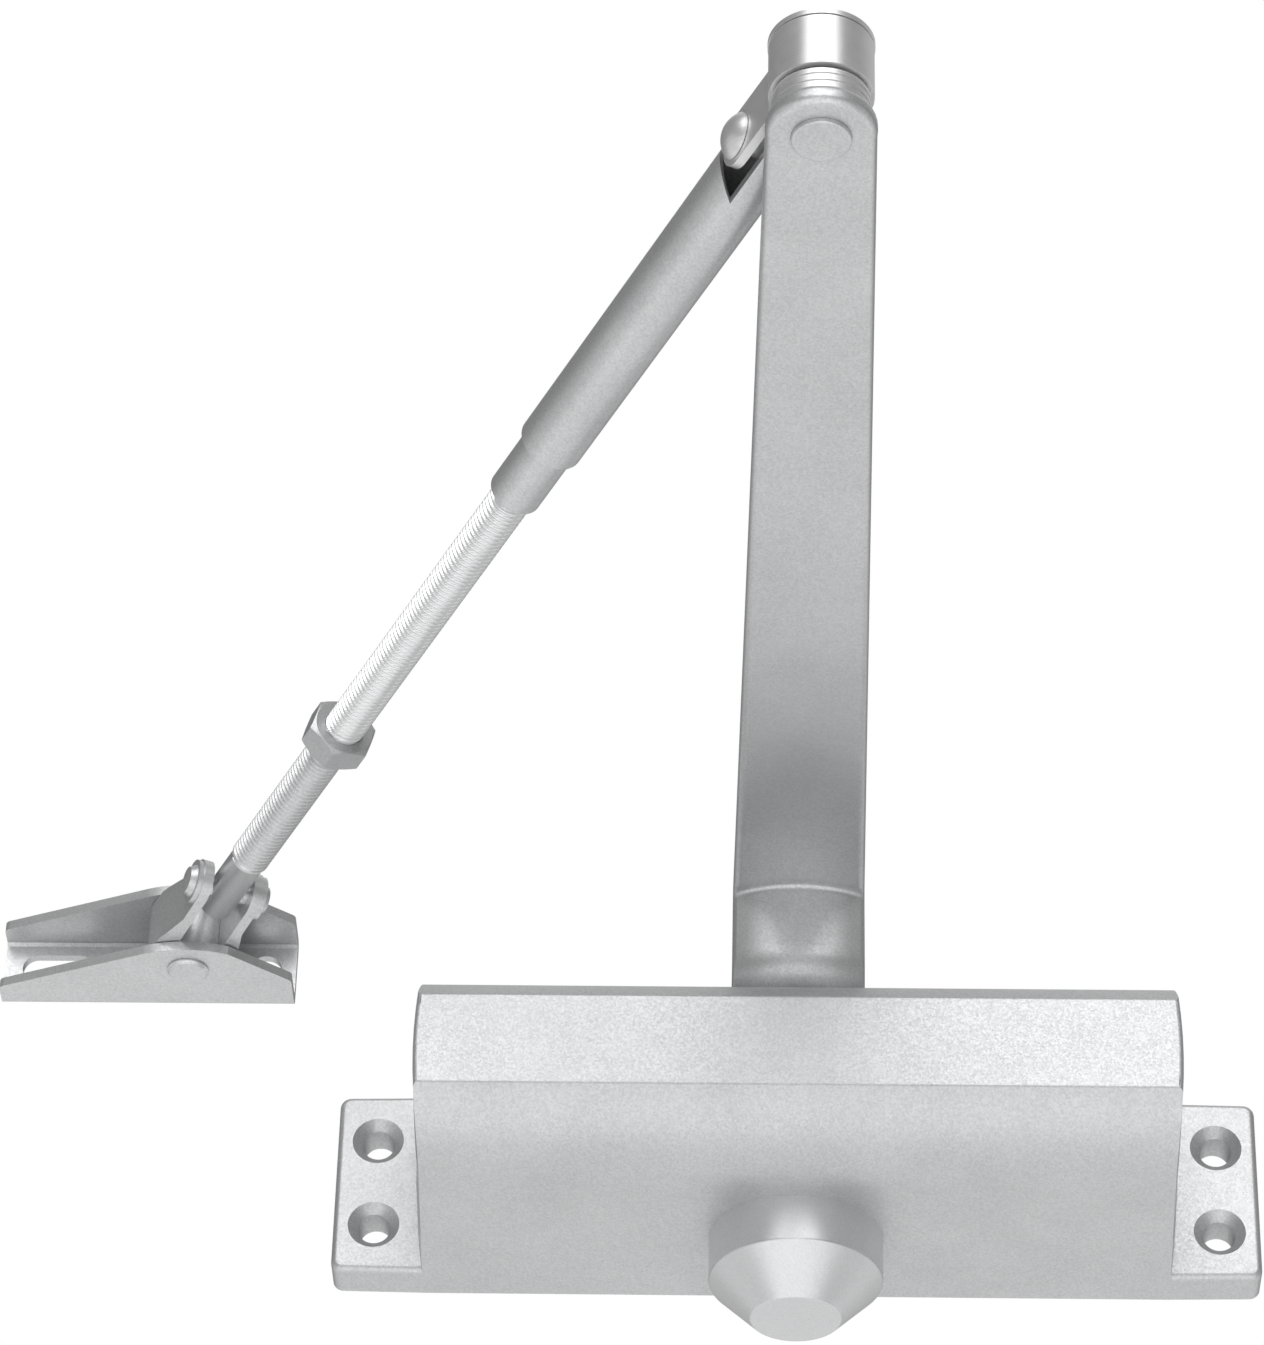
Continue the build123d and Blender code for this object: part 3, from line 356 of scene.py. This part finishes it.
def smooth_tip(name, start, material):
    """The unthreaded end of the rod, from its CAD mesh beyond start."""
    shape = bmesh.new()
    shape.from_mesh(nodes["fore_rod"].data)
    bmesh.ops.remove_doubles(shape, verts=shape.verts, dist=WELD_GAP)
    geometry = shape.verts[:] + shape.edges[:] + shape.faces[:]
    bmesh.ops.bisect_plane(shape, geom=geometry, plane_co=rod_origin + rod_axis * start,
                           plane_no=rod_axis, clear_inner=True)
    close_ends(shape)
    mesh = bpy.data.meshes.new(name)
    shape.to_mesh(mesh)
    shape.free()
    mesh.shade_smooth()
    mesh.set_sharp_from_angle(angle=TIP_SHARP)
    return rod_piece(name, mesh, material)


def thread_ends():
    """Where the rod and its wide, threaded part start and end, from the middle of the jam nut."""
    places = []
    wide = []
    for vertex in nodes["fore_rod"].data.vertices:
        place = (vertex.co - rod_origin).dot(rod_axis)
        places.append(place)
        if (vertex.co - rod_origin - rod_axis * place).length > SMOOTH_LIMIT:
            wide.append(place)
    return min(places), max(wide)


rod_start, thread_stop = thread_ends()
bright_thread = thread("bright_thread", rod_start, 0.0, thread_zinc)
painted_thread = thread("painted_thread", 0.0, thread_stop, thread_paint)
rod_tip = smooth_tip("rod_tip", thread_stop - TIP_OVERLAP, painted_zinc)
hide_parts("fore_rod")
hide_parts("fore_rod")
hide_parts("fore_rod")


# -------------------- copy of the closing spring, fixed to the body
pressed_spring = bpy.data.objects.new("pressed_spring", nodes["closing_spring"].data.copy())
bpy.context.scene.collection.objects.link(pressed_spring)
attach(pressed_spring, "body")
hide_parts("closing_spring")
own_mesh(pressed_spring)


# -------------------- studio
CAMERA_SENSOR = 36.0
CAMERA_LENS = 141.804
CAMERA_REACH = 50.0
CAMERA_PLACE = Vector((-0.00312, -0.91633, -0.52877))
CAMERA_FORWARD = Vector((-0.02852, 0.81133, 0.58389))
CAMERA_RIGHT = Vector((0.99957, 0.01962, 0.02157))
FLOOR_HEIGHT = -3.0
FLOOR_HALF = 12.0
FLOOR_GRAIN = 20 * MM
FLOOR_GLOW = 0.4
GLOW_BASE = 0.18
# Each glow: direction it comes from, cosine of its edge and of its core, strength.
GLOWS = (
    ((0.0, -0.83, 0.55), 0.8, 0.96, 2.3),
    ((0.0, -0.64, -0.77), 0.62, 0.95, 1.15),
    ((0.05, 0.75, -0.65), 0.3, 0.95, 0.68),
    ((0.0, -0.05, -1.0), 0.6, 0.95, 0.1),
    ((-0.85, 0.0, -0.5), 0.6, 0.95, 0.45),
    ((0.85, 0.1, -0.45), 0.6, 0.95, 0.3),
    ((0.2, 0.35, 0.92), 0.75, 0.97, 0.5),
)


def world_glow(tree, direction, toward, edge, core, strength):
    """Light from one side of the world: full inside the core cosine, nothing beyond the edge."""
    dot = tree.nodes.new("ShaderNodeVectorMath")
    dot.operation = "DOT_PRODUCT"
    tree.links.new(direction, dot.inputs[0])
    dot.inputs[1].default_value = Vector(toward).normalized()
    fade = tree.nodes.new("ShaderNodeMapRange")
    fade.interpolation_type = "SMOOTHSTEP"
    fade.inputs["From Min"].default_value = edge
    fade.inputs["From Max"].default_value = core
    fade.inputs["To Min"].default_value = 0.0
    fade.inputs["To Max"].default_value = strength
    tree.links.new(dot.outputs["Value"], fade.inputs["Value"])
    return fade.outputs["Result"]


def pale_world():
    """A white backdrop, with large soft lights around the closer, seen only in what they light."""
    world = bpy.data.worlds.new("studio")
    world.use_nodes = True
    tree = world.node_tree
    direction = tree.nodes.new("ShaderNodeTexCoord").outputs["Generated"]
    light = GLOW_BASE
    for toward, edge, core, strength in GLOWS:
        glow = world_glow(tree, direction, toward, edge, core, strength)
        light = combine(tree, "ADD", glow, light)
    seen = tree.nodes.new("ShaderNodeMix")
    path = tree.nodes.new("ShaderNodeLightPath")
    tree.links.new(path.outputs["Is Camera Ray"], seen.inputs["Factor"])
    tree.links.new(light, seen.inputs["A"])
    seen.inputs["B"].default_value = 1.0
    background = tree.nodes["Background"]
    background.inputs["Color"].default_value = (1.0, 1.0, 1.0, 1.0)
    tree.links.new(seen.outputs["Result"], background.inputs["Strength"])
    bpy.context.scene.world = world


def pale_floor():
    """A wide plain floor below the closer and the camera."""
    mesh = bpy.data.meshes.new("floor")
    shape = bmesh.new()
    bmesh.ops.create_grid(shape, x_segments=4, y_segments=4, size=FLOOR_HALF)
    shape.to_mesh(mesh)
    shape.free()
    floor = bpy.data.objects.new("floor", mesh)
    bpy.context.scene.collection.objects.link(floor)
    floor.location = (0, 0, FLOOR_HEIGHT)
    material, tree, shader, coordinates = new_material("floor_paint")
    grain = noise(tree, coordinates, FLOOR_GRAIN, 2.0)
    tree.links.new(tone(tree, grain, (0.86,) * 3, (0.9,) * 3), shader.inputs["Base Color"])
    shader.inputs["Roughness"].default_value = 0.8
    shader.inputs["Emission Color"].default_value = (1.0, 1.0, 1.0, 1.0)
    shader.inputs["Emission Strength"].default_value = FLOOR_GLOW
    mesh.materials.append(material)
    floor.visible_glossy = False
    floor.visible_diffuse = False
    floor.visible_shadow = False


def low_camera():
    """The camera below and in front of the closer, looking up at it."""
    data = bpy.data.cameras.new("camera")
    data.sensor_fit = "VERTICAL"
    data.sensor_height = CAMERA_SENSOR
    data.lens = CAMERA_LENS
    data.clip_end = CAMERA_REACH
    camera = bpy.data.objects.new("camera", data)
    bpy.context.scene.collection.objects.link(camera)
    forward = CAMERA_FORWARD.normalized()
    right = (CAMERA_RIGHT - forward * CAMERA_RIGHT.dot(forward)).normalized()
    up = right.cross(forward)
    turn = Matrix((right, up, -forward)).transposed().to_4x4()
    camera.matrix_world = Matrix.Translation(CAMERA_PLACE) @ turn
    bpy.context.scene.camera = camera


pale_world()
pale_floor()
low_camera()

bpy.context.scene.view_settings.view_transform = "Standard"
